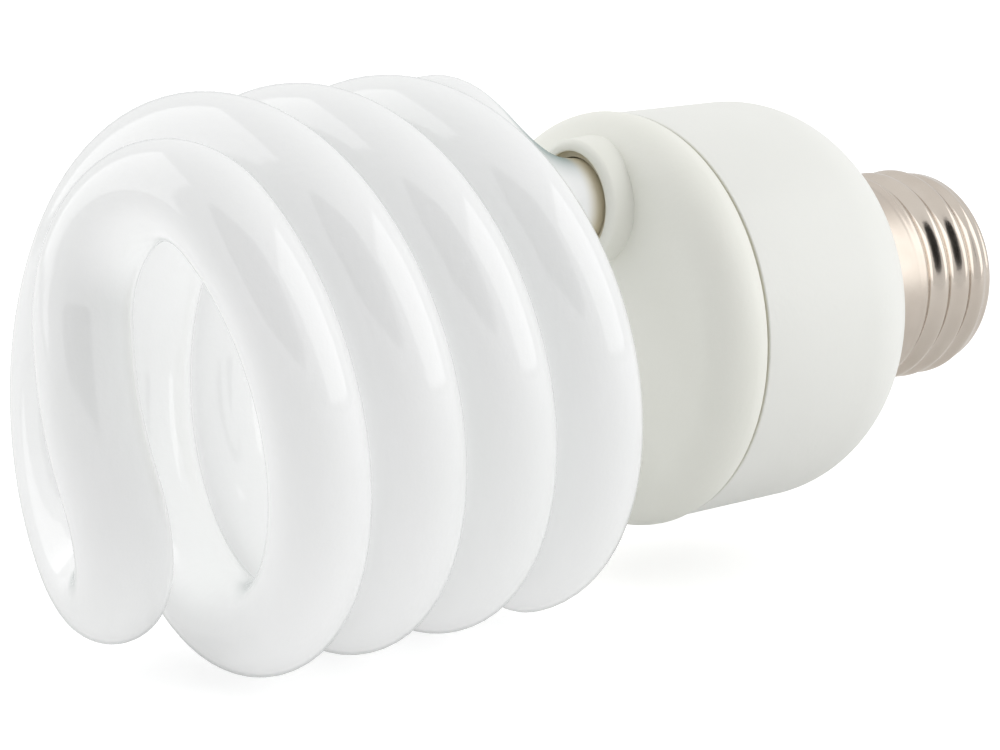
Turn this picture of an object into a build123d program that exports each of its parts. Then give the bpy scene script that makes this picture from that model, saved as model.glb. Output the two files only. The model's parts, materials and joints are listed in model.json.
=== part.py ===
from build123d import *
import os
from math import asin, cos, degrees, pi, radians, sin

# Spiral compact fluorescent lamp, lying on its glass with the lamp axis along X.
# A station is a distance along the axis from the front of the glass towards the screw cap.
# An angle goes round the axis from +Y up towards +Z, seen from the front.

# Glass spiral: two strands that join at an S-shaped bridge across the front
tube_diameter = 10.15
spiral_radius = 25.8          # centreline of the tube
turn_gap = 1.38               # free space between neighbouring turns
strand_turn = 661.0           # turn of each strand between the bridge and its tail
strand_start = 127.0          # angle where the first strand leaves the bridge
bridge_straight = 8.8         # half of the straight middle of the bridge
bridge_rise = 6.8             # from the middle of the bridge to the start of a strand
tail_lead = 0.404             # share of the tail's span that still follows its strand
tail_run_in = 0.606           # share of its span that already heads for the collar
collar_reach = 1.0            # the tail is straight from this far inside its collar
tube_end_round = 2.0

# Front cover with the two collars that hold the ends of the tube
cover_gap = 8.0               # free space between the last turn and the collars
collar_margin = 1.65          # collar to the cover's largest radius
collar_angle = 813.0          # where the first strand goes in, counted on from its start
collar_wall = 1.9
collar_height = 3.0
collar_draft = 5.5
collar_edge = 0.8
collar_gap = 1.025            # open ring between the tube and the collar
collar_recess = 3.6
tube_clearance = 0.25
cover_bulge = 0.3             # cover's largest radius beyond the seam
cover_corner = 4.7
cover_depth = 6.3             # face to seam
cover_wall = 1.9
cover_inner_round = 0.6
tongue_length = 4.0
tongue_wall = 1.3
tongue_clearance = 0.15

# Rear housing
housing_radius = 24.05
seam_step = 0.05              # cover's edge beyond the housing's
seam_gap = 0.35
housing_straight = 16.4       # seam to the start of the shoulder
shoulder_radius = 12.5
housing_wall = 1.8
neck_ledge = 0.6              # neck face beyond the screw shell
neck_length = 7.6
neck_wall = 1.4
ledge_depth = 1.5
ledge_thickness = 1.5

# Screw cap
thread_crest_radius = 13.15
thread_depth = 0.9
thread_pitch = 3.629
thread_turns = 3
skirt_step = 0.15             # thread crests beyond the skirt
skirt_length = 8.65
skirt_taper = 0.6
shell_wall = 0.4
shell_fit = 0.1
shell_lip = 2.1               # width of the flat lip over the insulator
shell_shoulder = 1.0
insulator_height = 3.2
insulator_tip_radius = 5.6
insulator_depth = 3.0
contact_radius = 4.7
contact_height = 1.5
contact_flat_radius = 2.0
contact_shank_radius = 1.6
contact_crown_share = 0.72    # height of the contact's dome midway between flat and rim

# Circuit board and what it carries, placed as (towards +Y, up) from the lamp axis
cement_spread = 1.6
cement_depth = 2.5
cement_edge = 0.6
board_clearance = 0.2
board_thickness = 1.6
board_notch_radius = 2.2
board_notch_angle = 45.0
tube_reach = 1.9              # how far the tube's ends pass the seam
lead_radius = 0.3
lead_clearance = 0.1
lead_stub = 0.6               # leads cut off in front of the board
capacitor_diameter = 10.0
capacitor_length = 17.0
capacitor_round = 0.8
capacitor_groove = 1.8        # board to the crimped groove
capacitor_groove_width = 1.2
capacitor_groove_depth = 0.5
capacitor_place = (-1.0, 6.2)
capacitor_pitch = 5.0
core_width = 14.0
core_height = 6.0             # one half of the pair
core_depth = 5.0
core_leg = 3.0
core_gap = 0.3
core_place = (0.0, -9.6)
bobbin_wall = 0.7
bobbin_fit = 0.15
bobbin_pin = 0.6
bobbin_pin_pitch = 6.0
winding_gap = 0.15
toroid_radius = 5.0
toroid_hole_radius = 2.6
toroid_thickness = 4.6
toroid_place = (13.0, -4.0)
toroid_wire = 0.7
toroid_fit = 0.1
toroid_turns = (3, 3, 5)      # turns of each of the three windings
toroid_turn_angle = 17.0
drum_radius = 3.8
drum_height = 8.5
drum_neck = 1.9
drum_flange = 1.1
drum_place = (11.8, 7.6)
drum_pitch = 4.0
film_thickness = 4.6
film_width = 9.0
film_height = 8.0
film_round = 0.7
film_pitch = 6.0
film_places = ((-12.4, 4.6), (-14.6, -5.4))
transistor_width = 7.4
transistor_thickness = 2.7
transistor_height = 10.8
transistor_standoff = 2.0
transistor_hole_radius = 1.6
transistor_hole_drop = 3.7    # top of the body to its hole
transistor_leg = 0.7
transistor_leg_thickness = 0.5
transistor_leg_pitch = 2.3
transistor_places = ((-10.4, -13.9), (10.4, -13.9))
diode_radius = 1.3
diode_length = 5.0
diode_span = 9.0
diode_spacing = 5.4
resistor_radius = 1.15
resistor_length = 6.2
resistor_span = 10.0
resistor_places = ((4.9, 15.4), (-7.6, 14.6))
diac_radius = 0.95
diac_length = 3.2
diac_span = 6.0
diac_place = (5.4, 0.6)
fuse_radius = 1.7
fuse_length = 8.0
fuse_place = (0.0, -0.9)
fuse_rise = 18.5              # back of the board to the near end of the fuse resistor
sleeve_wall = 0.35
sleeve_overhang = 1.2
wire_radius = 0.6
wire_bend = 1.6
neutral_gap = 0.45            # free space between the neutral wire and the choke
neutral_drop = 3.4            # lamp axis down to the neutral wire
post_width = 1.0
post_length = 5.0
post_gap = 0.625              # free space between a post and the tube
filament_spread = 1.6

# Stations worked out from the sizes above
tube_radius = tube_diameter / 2
strand_pitch = 2 * (tube_diameter + turn_gap)
helix_start = tube_radius + bridge_rise
helix_length = strand_pitch * strand_turn / 360
helix_end = helix_start + helix_length
collar_rim = helix_end + tube_radius + cover_gap
cover_face = collar_rim + collar_height
seam = cover_face + cover_depth
seam_radius = housing_radius + seam_step
cover_radius = seam_radius + cover_bulge
collar_bore_radius = tube_radius + collar_gap
collar_radius = collar_bore_radius + collar_wall
collar_offset = cover_radius - collar_margin - collar_radius
cover_edge = seam - seam_gap / 2
housing_edge = seam + seam_gap / 2
tube_end = seam + tube_reach
shoulder_start = seam + housing_straight
shoulder_centre = housing_radius - shoulder_radius
thread_root_radius = thread_crest_radius - thread_depth
thread_middle = (thread_crest_radius + thread_root_radius) / 2
skirt_radius = thread_crest_radius - skirt_step
neck_face_radius = skirt_radius + neck_ledge
shoulder_end_angle = degrees(asin((neck_face_radius - shoulder_centre) / shoulder_radius))
neck_face = shoulder_start + shoulder_radius * cos(radians(shoulder_end_angle))
neck_end = neck_face + neck_length
shell_bore = thread_root_radius - shell_wall
neck_radius = skirt_radius - shell_wall - shell_fit
neck_bore = neck_radius - neck_wall
thread_start = neck_face + skirt_length
thread_end = thread_start + thread_turns * thread_pitch
shell_end = thread_end + shell_shoulder
shell_lip_radius = thread_middle - shell_shoulder - shell_lip
contact_seat = shell_end + insulator_height
lamp_length = contact_seat + contact_height
tongue_end = seam + tongue_length
board_front = tongue_end + board_clearance
board_back = board_front + board_thickness
housing_bore = housing_radius - housing_wall
post_spread = tube_radius + post_gap + post_width / 2
contact_bore_radius = lead_radius + lead_clearance

# The glass rests on the floor under the middle of the lamp's length
front_x = -lamp_length / 2
axis_height = spiral_radius + tube_radius
lamp_axis = Axis((front_x, 0, axis_height), (1, 0, 0))
side_view = Plane(origin=(front_x, 0, axis_height), x_dir=(1, 0, 0), z_dir=(0, -1, 0))


def across(station):
    """Plane across the lamp at a station, its X towards +Y and its Y up."""
    return Plane(origin=(front_x + station, 0, axis_height), x_dir=(0, 1, 0), z_dir=(1, 0, 0))


def strand_frame(turned):
    """Frame of one strand: Z along the lamp axis, X at the angle where it leaves the bridge."""
    return across(0).rotated((strand_start + turned, 0, 0)).location


def round_point(radius, angle, height):
    return Vector(radius * cos(radians(angle)), radius * sin(radians(angle)), height)


def finish(piece, name):
    piece.part.label = name
    export_step(piece.part, f"parts/{name}.step")


os.makedirs("parts", exist_ok=True)


# Half of the bridge in a strand's frame: straight out from the axis, then an arc onto the spiral
bridge_bend = (spiral_radius**2 - bridge_straight**2) / (2 * spiral_radius)
bend_centre = spiral_radius - bridge_bend
bridge_swing = degrees(asin(bridge_bend / bend_centre))
bridge_length = bridge_straight + radians(90 + bridge_swing) * bridge_bend
strand_slope = strand_pitch / (2 * pi * spiral_radius)
bridge_steps = 8
helix_stretches = 8


def bridge_point(travel):
    """Point of the half bridge after a travel from the lamp axis."""
    share = travel / bridge_length
    rise = bridge_rise * (3 * share**2 - 2 * share**3)
    lean = strand_slope * bridge_length * (share**3 - share**2)
    height = tube_radius + rise + lean
    if travel <= bridge_straight:
        return round_point(travel, -bridge_swing, height)
    turned = degrees((travel - bridge_straight) / bridge_bend) - bridge_swing - 90
    return Vector(bend_centre, 0, 0) + round_point(bridge_bend, turned, height)


with BuildLine() as strand_line:
    Spline(
        *[bridge_point(bridge_length * step / bridge_steps) for step in range(bridge_steps + 1)],
        tangents=(round_point(1, -bridge_swing, 0), (0, 1, strand_slope)),
    )
    for stretch in range(helix_stretches):
        turned = strand_turn * stretch / helix_stretches
        start = (0, 0, helix_start + helix_length * stretch / helix_stretches)
        length = helix_length / helix_stretches
        helix = Helix(strand_pitch, length, spiral_radius, center=start, mode=Mode.PRIVATE)
        add(helix.rotate(Axis.Z, turned))
    tail_start = round_point(spiral_radius, strand_turn, helix_end)
    tail_heading = round_point(1, strand_turn + 90, strand_slope).normalized()
    tail_end = round_point(collar_offset, collar_angle - strand_start, collar_rim + collar_reach)
    tail_span = (tail_end - tail_start).length
    Bezier(
        tail_start,
        tail_start + tail_heading * tail_lead * tail_span,
        tail_end - Vector(0, 0, tail_run_in * tail_span),
        tail_end,
    )
    Line(tail_end, (tail_end.X, tail_end.Y, tube_end))

with BuildPart() as spiral_tube:
    for turned in (0, 180):
        strand_route = strand_line.wire().moved(strand_frame(turned))
        with BuildSketch(Plane(origin=strand_route @ 0, z_dir=strand_route % 0)):
            Circle(tube_radius)
        sweep(path=strand_route)
    fillet(spiral_tube.faces().sort_by(Axis.X)[-2:].edges(), tube_end_round)
finish(spiral_tube, "spiral_tube")

# Collar centres on a plane across the lamp
collar_places = [
    tuple(round_point(collar_offset, collar_angle + turned, 0))[:2] for turned in (0, 180)
]

# Front cover: a round cap with two collars and a tongue that goes inside the rear housing
tongue_radius = seam_radius - housing_wall - tongue_clearance
tongue_bore = tongue_radius - tongue_wall
with BuildPart() as front_cover:
    with BuildSketch(side_view):
        with BuildLine():
            rounded = CenterArc(
                (cover_face + cover_corner, cover_radius - cover_corner), cover_corner, 180, -90
            )
            Polyline(
                rounded @ 1,
                (cover_edge, seam_radius),
                (cover_edge, tongue_radius),
                (tongue_end, tongue_radius),
                (tongue_end, tongue_bore),
                (cover_face + cover_wall + cover_inner_round, tongue_bore),
                (cover_face + cover_wall, tongue_bore - cover_inner_round),
                (cover_face + cover_wall, 0),
                (cover_face, 0),
                rounded @ 0,
            )
        make_face()
    revolve(axis=lamp_axis)
    with BuildSketch(across(cover_face)):
        with Locations(*collar_places):
            Circle(collar_radius + collar_height * sin(radians(collar_draft)))
    extrude(amount=-collar_height, taper=collar_draft)
    rim_edges = front_cover.faces().sort_by(Axis.X)[:2].edges()
    fillet(rim_edges, collar_edge)
    with BuildSketch(across(collar_rim)):
        with Locations(*collar_places):
            Circle(collar_bore_radius)
    extrude(amount=collar_recess, mode=Mode.SUBTRACT)
    with BuildSketch(across(collar_rim)):
        with Locations(*collar_places):
            Circle(tube_radius + tube_clearance)
    extrude(amount=collar_height + 2 * cover_wall, mode=Mode.SUBTRACT)
finish(front_cover, "front_cover")

# Cement that holds each end of the tube behind the cover
for number, place in enumerate(collar_places, start=1):
    with BuildPart() as tube_cement:
        with BuildSketch(across(cover_face + cover_wall)):
            with Locations(place):
                Circle(tube_radius + cement_spread)
            Circle(tongue_bore - cover_inner_round, mode=Mode.INTERSECT)
        extrude(amount=cement_depth)
        chamfer(tube_cement.faces().sort_by(Axis.X)[-1].edges(), cement_edge)
        with BuildSketch(across(cover_face + cover_wall)):
            with Locations(place):
                Circle(tube_radius)
        extrude(amount=cement_depth, mode=Mode.SUBTRACT)
    finish(tube_cement, f"tube_cement_{number}")

# Rear housing: straight wall, round shoulder and the neck that carries the screw shell
with BuildPart() as rear_housing:
    with BuildSketch(side_view):
        with BuildLine():
            shoulder = CenterArc(
                (shoulder_start, shoulder_centre), shoulder_radius, 90, shoulder_end_angle - 90
            )
            inner_shoulder = CenterArc(
                (shoulder_start, shoulder_centre), shoulder_radius - housing_wall, 90, -90
            )
            Polyline(
                shoulder @ 1,
                (neck_face, neck_radius),
                (neck_end, neck_radius),
                (neck_end, neck_bore),
                (shoulder_start + shoulder_radius - housing_wall, neck_bore),
                inner_shoulder @ 1,
            )
            Polyline(
                inner_shoulder @ 0,
                (board_back + ledge_thickness, housing_bore),
                (board_back + ledge_thickness, housing_bore - ledge_depth),
                (board_back, housing_bore - ledge_depth),
                (board_back, housing_bore),
                (housing_edge, housing_bore),
                (housing_edge, housing_radius),
                shoulder @ 0,
            )
        make_face()
    revolve(axis=lamp_axis)
finish(rear_housing, "rear_housing")


def rolled_thread(inset):
    """Roots and crests along the side view, an inset inside the outer surface."""
    for turn in range(thread_turns):
        root = thread_start + thread_pitch * (turn + 1 / 4)
        for middle, peak in ((root, thread_root_radius), (root + thread_pitch / 2, thread_crest_radius)):
            ThreePointArc(
                (middle - thread_pitch / 4, thread_middle - inset),
                (middle, peak - inset),
                (middle + thread_pitch / 4, thread_middle - inset),
            )


# Screw shell of thin sheet: plain skirt, rolled thread and a lip over the insulator
with BuildPart() as screw_shell:
    with BuildSketch(side_view):
        with BuildLine():
            rolled_thread(0)
            rolled_thread(shell_wall)
            shoulder_turn = CenterArc(
                (thread_end, thread_middle - shell_shoulder), shell_shoulder, 90, -90
            )
            Polyline(
                shoulder_turn @ 1,
                (shell_end, shell_lip_radius),
                (shell_end - shell_wall, shell_lip_radius),
                (shell_end - shell_wall, thread_middle - shell_shoulder),
                (thread_end, thread_middle - shell_wall),
            )
            Polyline(
                (thread_start, thread_middle - shell_wall),
                (thread_start - skirt_taper, skirt_radius - shell_wall),
                (neck_face, skirt_radius - shell_wall),
                (neck_face, skirt_radius),
                (thread_start - skirt_taper, skirt_radius),
                (thread_start, thread_middle),
            )
        make_face()
    revolve(axis=lamp_axis)
finish(screw_shell, "screw_shell")

# Insulator pressed into the end of the shell, and the contact in its middle
with BuildPart() as base_insulator:
    with BuildSketch(side_view):
        with BuildLine():
            Polyline(
                (shell_end - insulator_depth, contact_shank_radius),
                (shell_end - insulator_depth, shell_bore - shell_fit),
                (thread_end, shell_bore - shell_fit),
                (shell_end - shell_wall, thread_middle - shell_shoulder - shell_fit),
                (shell_end - shell_wall, shell_lip_radius - shell_fit),
                (shell_end, shell_lip_radius - shell_fit),
                (contact_seat, insulator_tip_radius),
                (contact_seat, contact_shank_radius),
                close=True,
            )
        make_face()
    revolve(axis=lamp_axis)
finish(base_insulator, "base_insulator")

with BuildPart() as centre_contact:
    with BuildSketch(side_view):
        with BuildLine():
            crown = ThreePointArc(
                (lamp_length, contact_flat_radius),
                (
                    contact_seat + contact_height * contact_crown_share,
                    (contact_flat_radius + contact_radius) / 2,
                ),
                (contact_seat, contact_radius),
            )
            Polyline(
                crown @ 1,
                (contact_seat, contact_shank_radius),
                (shell_end - insulator_depth, contact_shank_radius),
                (shell_end - insulator_depth, contact_bore_radius),
                (contact_seat, contact_bore_radius),
                (contact_seat, 0),
                (lamp_length, 0),
                crown @ 0,
            )
        make_face()
    revolve(axis=lamp_axis)
finish(centre_contact, "centre_contact")


def upright(place):
    """Plane on the back of the board at a place: X towards +Y, Y away from the board."""
    origin = across(board_back).from_local_coords((*place, 0))
    return Plane(origin=origin, x_dir=(0, 1, 0), z_dir=(0, 0, -1))


def in_front(place):
    """Plane on the front of the board at a place: X towards +Y, Y away from the board."""
    origin = across(board_front).from_local_coords((*place, 0))
    return Plane(origin=origin, x_dir=(0, 1, 0), z_dir=(0, 0, 1))


def pair_places(place, width, rise):
    """Two places round a middle one, a width apart sideways and a rise apart upwards."""
    return [(place[0] + side * width / 2, place[1] + side * rise / 2) for side in (-1, 1)]


def round_leads(places, diameter=2 * lead_radius):
    """Straight leads from the back of the board to their cut ends in front of it."""
    with BuildSketch(across(board_front - lead_stub)) as cut_ends:
        with Locations(*places):
            Circle(diameter / 2)
    extrude(cut_ends.sketch, amount=board_thickness + lead_stub)


def sweep_wire(line, plane, radius):
    """Round wire along a line that was drawn in a plane's own frame."""
    route = line.moved(plane.location)
    with BuildSketch(Plane(origin=route @ 0, z_dir=route % 0)) as section:
        Circle(radius)
    sweep(section.sketch, path=route, transition=Transition.RIGHT)


def axial_part(plane, radius, length, span, depth):
    """Round body lying on the board, with a lead from each end down into it."""
    with BuildSketch(plane) as half_profile:
        with Locations((0, radius)):
            Rectangle(length, radius, align=(Align.CENTER, Align.MIN))
    revolve(half_profile.sketch, axis=Axis(plane.from_local_coords((0, radius, 0)), plane.x_dir))
    with BuildLine() as lead_line:
        Polyline((-span / 2, -depth), (-span / 2, radius), (span / 2, radius), (span / 2, -depth))
    sweep_wire(lead_line.wire(), plane, lead_radius)


# Wrap posts pressed into the board beside each end of the tube, and the tube's lead wires
lead_level = (tube_end + board_front) / 2
post_stands = [(place, side) for place in collar_places for side in (-1, 1)]
post_places = [(place[0] + side * post_spread, place[1]) for place, side in post_stands]
for number, ((place, side), post_place) in enumerate(zip(post_stands, post_places), start=1):
    with BuildPart() as wrap_post:
        with BuildSketch(across(board_front - post_length)):
            with Locations(post_place):
                Rectangle(post_width, post_width)
        extrude(amount=post_length + board_thickness)
        chamfer(wrap_post.faces().sort_by(Axis.X)[0].edges(), post_width / 4)
    finish(wrap_post, f"wrap_post_{number}")

    lead_plane = Plane(
        origin=across(tube_end).from_local_coords((*place, 0)), x_dir=(0, side, 0), z_dir=(0, 0, -side)
    )
    with BuildLine() as lead_line:
        Polyline(
            (filament_spread, 0),
            (filament_spread, lead_level - tube_end),
            (post_spread - post_width / 2, lead_level - tube_end),
        )
    with BuildPart() as tube_lead:
        sweep_wire(lead_line.wire(), lead_plane, lead_radius)
    finish(tube_lead, f"tube_lead_{number}")


# Electrolytic capacitor, standing so that it reaches into the neck
capacitor_leads = pair_places(capacitor_place, capacitor_pitch, 0)
capacitor_radius = capacitor_diameter / 2
with BuildPart() as electrolytic_capacitor:
    with BuildSketch(across(board_back)):
        with Locations(capacitor_place):
            Circle(capacitor_radius)
    extrude(amount=capacitor_length)
    fillet(electrolytic_capacitor.edges().filter_by(GeomType.CIRCLE), capacitor_round)
    with BuildSketch(across(board_back + capacitor_groove)):
        with Locations(capacitor_place):
            Circle(capacitor_radius)
            Circle(capacitor_radius - capacitor_groove_depth, mode=Mode.SUBTRACT)
    extrude(amount=capacitor_groove_width, mode=Mode.SUBTRACT)
    round_leads(capacitor_leads)
finish(electrolytic_capacitor, "electrolytic_capacitor")

# Ballast choke: two E cores round a bobbin with its winding
core_back = core_leg / 2
core_window = core_width / 2 - core_leg
window_middle = (core_leg + core_window) / 2
core_window_height = 2 * core_height + core_gap - 2 * core_back
core_plane = upright(core_place)
core_closing = across(board_back + core_height + core_gap / 2)
for number, flipped in enumerate((False, True), start=1):
    with BuildPart() as choke_core:
        with BuildSketch(core_plane):
            Rectangle(core_width, core_height, align=(Align.CENTER, Align.MIN))
            with Locations((window_middle, core_back), (-window_middle, core_back)):
                Rectangle(core_window, core_height, align=(Align.CENTER, Align.MIN), mode=Mode.SUBTRACT)
        extrude(amount=core_depth / 2, both=True)
        if flipped:
            mirror(about=core_closing, mode=Mode.REPLACE)
    finish(choke_core, f"choke_core_{number}")

bobbin_tube = (core_leg + 2 * (bobbin_fit + bobbin_wall), core_depth + 2 * (bobbin_fit + bobbin_wall))
winding_build = core_window - 2 * bobbin_fit - bobbin_wall
bobbin_flange = (bobbin_tube[0] + 2 * winding_build, bobbin_tube[1] + 2 * winding_build)
bobbin_foot = board_back + core_back + bobbin_fit
bobbin_height = core_window_height - 2 * bobbin_fit
pin_row = (bobbin_flange[1] - bobbin_pin) / 2 - winding_gap
pin_places = [
    (core_place[0] + across_row * bobbin_pin_pitch / 2, core_place[1] + row * pin_row)
    for across_row in (-1, 1)
    for row in (-1, 1)
]
with BuildPart() as choke_bobbin:
    with BuildSketch(across(bobbin_foot)):
        with Locations(core_place):
            Rectangle(*bobbin_tube)
    extrude(amount=bobbin_height)
    for level in (bobbin_foot, bobbin_foot + bobbin_height - bobbin_wall):
        with BuildSketch(across(level)):
            with Locations(core_place):
                Rectangle(*bobbin_flange)
        extrude(amount=bobbin_wall)
    with BuildSketch(across(bobbin_foot)):
        with Locations(core_place):
            Rectangle(core_leg + 2 * bobbin_fit, core_depth + 2 * bobbin_fit)
    extrude(amount=bobbin_height, mode=Mode.SUBTRACT)
    with BuildSketch(across(board_front - lead_stub)):
        with Locations(*pin_places):
            Rectangle(bobbin_pin, bobbin_pin)
    extrude(amount=bobbin_foot - board_front + lead_stub)
finish(choke_bobbin, "choke_bobbin")

with BuildPart() as choke_winding:
    with BuildSketch(across(bobbin_foot + bobbin_wall + winding_gap)):
        with Locations(core_place):
            RectangleRounded(
                bobbin_flange[0] - 2 * winding_gap, bobbin_flange[1] - 2 * winding_gap, winding_build / 2
            )
            Rectangle(*bobbin_tube, mode=Mode.SUBTRACT)
    extrude(amount=bobbin_height - 2 * bobbin_wall - 2 * winding_gap)
finish(choke_winding, "choke_winding")

# Ring core with three windings, lying flat on its turns
ring_seat = board_back + toroid_wire + toroid_fit
with BuildPart() as toroid_core:
    with BuildSketch(across(ring_seat)):
        with Locations(toroid_place):
            Circle(toroid_radius)
            Circle(toroid_hole_radius, mode=Mode.SUBTRACT)
    extrude(amount=toroid_thickness)
finish(toroid_core, "toroid_core")

turn_reach = (toroid_radius + toroid_hole_radius) / 2
turn_width = toroid_radius - toroid_hole_radius + 2 * toroid_fit
turn_height = toroid_thickness + 2 * toroid_fit
toroid_lead_places = []
with BuildPart() as toroid_windings:
    for winding, turns in enumerate(toroid_turns):
        for turn in range(turns):
            angle = winding * 360 / len(toroid_turns) + (turn - (turns - 1) / 2) * toroid_turn_angle
            outwards = round_point(1, angle, 0)
            turn_plane = Plane(
                origin=across(ring_seat + toroid_thickness / 2).from_local_coords((*toroid_place, 0)),
                x_dir=(0, outwards.X, outwards.Y),
                z_dir=(0, -outwards.Y, outwards.X),
            )
            with BuildSketch(turn_plane):
                with Locations((turn_reach, 0)):
                    RectangleRounded(
                        turn_width + 2 * toroid_wire, turn_height + 2 * toroid_wire, toroid_wire
                    )
                    Rectangle(turn_width, turn_height, mode=Mode.SUBTRACT)
            extrude(amount=toroid_wire / 2, both=True)
            if turn in (0, turns - 1):
                lead = outwards * (toroid_radius + toroid_fit + toroid_wire / 2)
                toroid_lead_places.append((toroid_place[0] + lead.X, toroid_place[1] + lead.Y))
    round_leads(toroid_lead_places, toroid_wire)
finish(toroid_windings, "toroid_windings")

# Filter choke wound on a drum core
drum_leads = pair_places(drum_place, 0, drum_pitch)
with BuildPart() as drum_core:
    with BuildSketch(across(board_back)):
        with Locations(drum_place):
            Circle(drum_radius)
    extrude(amount=drum_height)
    with BuildSketch(across(board_back + drum_flange)):
        with Locations(drum_place):
            Circle(drum_radius)
            Circle(drum_neck, mode=Mode.SUBTRACT)
    extrude(amount=drum_height - 2 * drum_flange, mode=Mode.SUBTRACT)
    round_leads(drum_leads)
finish(drum_core, "drum_core")

with BuildPart() as drum_winding:
    with BuildSketch(across(board_back + drum_flange + winding_gap)):
        with Locations(drum_place):
            Circle(drum_radius - winding_gap)
            Circle(drum_neck, mode=Mode.SUBTRACT)
    extrude(amount=drum_height - 2 * drum_flange - 2 * winding_gap)
finish(drum_winding, "drum_winding")

# Film capacitors
film_leads = []
for number, place in enumerate(film_places, start=1):
    leads = pair_places(place, 0, film_pitch)
    with BuildPart() as film_capacitor:
        with BuildSketch(across(board_back)):
            with Locations(place):
                Rectangle(film_thickness, film_width)
        extrude(amount=film_height)
        fillet(film_capacitor.edges().filter_by(Axis.X), film_round)
        fillet(film_capacitor.faces().sort_by(Axis.X)[-1].edges(), film_round / 2)
        round_leads(leads)
    finish(film_capacitor, f"film_capacitor_{number}")
    film_leads += leads

# Switching transistors, standing on their three legs
leg_places = []
for number, place in enumerate(transistor_places, start=1):
    legs = [(place[0] + leg * transistor_leg_pitch, place[1]) for leg in (-1, 0, 1)]
    with BuildPart() as transistor:
        with BuildSketch(upright(place)):
            with Locations((0, transistor_standoff)):
                Rectangle(transistor_width, transistor_height, align=(Align.CENTER, Align.MIN))
            with Locations((0, transistor_standoff + transistor_height - transistor_hole_drop)):
                Circle(transistor_hole_radius, mode=Mode.SUBTRACT)
        extrude(amount=transistor_thickness / 2, both=True)
        with BuildSketch(across(board_front - lead_stub)):
            with Locations(*legs):
                Rectangle(transistor_leg, transistor_leg_thickness)
        extrude(amount=lead_stub + board_thickness + transistor_standoff)
    finish(transistor, f"transistor_{number}")
    leg_places += legs

# Axial parts: rectifier diodes in front of the board, resistors and the starter diac behind it
diode_places = [(0, diode_spacing * (row - 1.5)) for row in range(4)]
for number, place in enumerate(diode_places, start=1):
    with BuildPart() as rectifier_diode:
        axial_part(in_front(place), diode_radius, diode_length, diode_span, board_thickness)
    finish(rectifier_diode, f"rectifier_diode_{number}")

for number, place in enumerate(resistor_places, start=1):
    with BuildPart() as resistor:
        axial_part(
            upright(place), resistor_radius, resistor_length, resistor_span, board_thickness + lead_stub
        )
    finish(resistor, f"resistor_{number}")

with BuildPart() as starter_diac:
    axial_part(upright(diac_place), diac_radius, diac_length, diac_span, board_thickness + lead_stub)
finish(starter_diac, "starter_diac")

# Fuse resistor in the neck, whose far lead runs on to the centre contact, and its sleeve
fuse_start = board_back + fuse_rise
fuse_end = fuse_start + fuse_length
sleeve_bore = fuse_radius + lead_clearance
with BuildPart() as fuse_resistor:
    with BuildSketch(across(fuse_start)):
        with Locations(fuse_place):
            Circle(fuse_radius)
    extrude(amount=fuse_length)
    fillet(fuse_resistor.edges().filter_by(GeomType.CIRCLE), fuse_radius / 3)
    with BuildLine() as contact_lead:
        Polyline(
            (*fuse_place, board_front - lead_stub),
            (*fuse_place, fuse_end + sleeve_overhang),
            (0, 0, shell_end - insulator_depth - sleeve_overhang),
            (0, 0, contact_seat),
        )
    sweep_wire(contact_lead.wire(), across(0), lead_radius)
finish(fuse_resistor, "fuse_resistor")

with BuildPart() as fuse_sleeve:
    with BuildSketch(across(fuse_start - sleeve_overhang)):
        with Locations(fuse_place):
            Circle(sleeve_bore + sleeve_wall)
            Circle(sleeve_bore, mode=Mode.SUBTRACT)
    extrude(amount=fuse_length + 2 * sleeve_overhang)
finish(fuse_sleeve, "fuse_sleeve")

# Neutral wire, turned outwards past the neck against the first root of the thread
choke_side = core_place[0] - bobbin_flange[0] / 2
neutral_place = (choke_side - neutral_gap - wire_radius, -neutral_drop)
neutral_reach = Vector(*neutral_place).length
neutral_turn = thread_start + thread_pitch / 4
neutral_outwards = Vector(0, *neutral_place).normalized()
neutral_plane = Plane(
    origin=across(0).origin, x_dir=neutral_outwards, z_dir=neutral_outwards.cross(Vector(1, 0, 0))
)
with BuildLine() as neutral_line:
    FilletPolyline(
        (neutral_reach, board_front - lead_stub),
        (neutral_reach, neutral_turn),
        (shell_bore - lead_clearance, neutral_turn),
        radius=wire_bend,
    )
with BuildPart() as neutral_wire:
    sweep_wire(neutral_line.wire(), neutral_plane, wire_radius)
finish(neutral_wire, "neutral_wire")

# Circuit board, drilled for every lead, with notches in its rim
diode_leads = [lead for place in diode_places for lead in pair_places(place, diode_span, 0)]
resistor_leads = [lead for place in resistor_places for lead in pair_places(place, resistor_span, 0)]
diac_leads = pair_places(diac_place, diac_span, 0)
round_holes = [*capacitor_leads, *drum_leads, *film_leads, *diode_leads, *resistor_leads, *diac_leads]
with BuildPart() as circuit_board:
    with BuildSketch(across(board_front)):
        Circle(housing_bore - board_clearance)
        with PolarLocations(housing_bore - board_clearance, 4, start_angle=board_notch_angle):
            Circle(board_notch_radius, mode=Mode.SUBTRACT)
        with Locations(*round_holes, fuse_place):
            Circle(lead_radius + lead_clearance, mode=Mode.SUBTRACT)
        with Locations(*toroid_lead_places):
            Circle(toroid_wire / 2 + lead_clearance, mode=Mode.SUBTRACT)
        with Locations(*post_places):
            Rectangle(post_width, post_width, mode=Mode.SUBTRACT)
        with Locations(*pin_places):
            Rectangle(bobbin_pin + lead_clearance, bobbin_pin + lead_clearance, mode=Mode.SUBTRACT)
        with Locations(*leg_places):
            Rectangle(
                transistor_leg + lead_clearance,
                transistor_leg_thickness + lead_clearance,
                mode=Mode.SUBTRACT,
            )
        with Locations(neutral_place):
            Circle(wire_radius + lead_clearance, mode=Mode.SUBTRACT)
    extrude(amount=board_thickness)
finish(circuit_board, "circuit_board")
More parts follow.
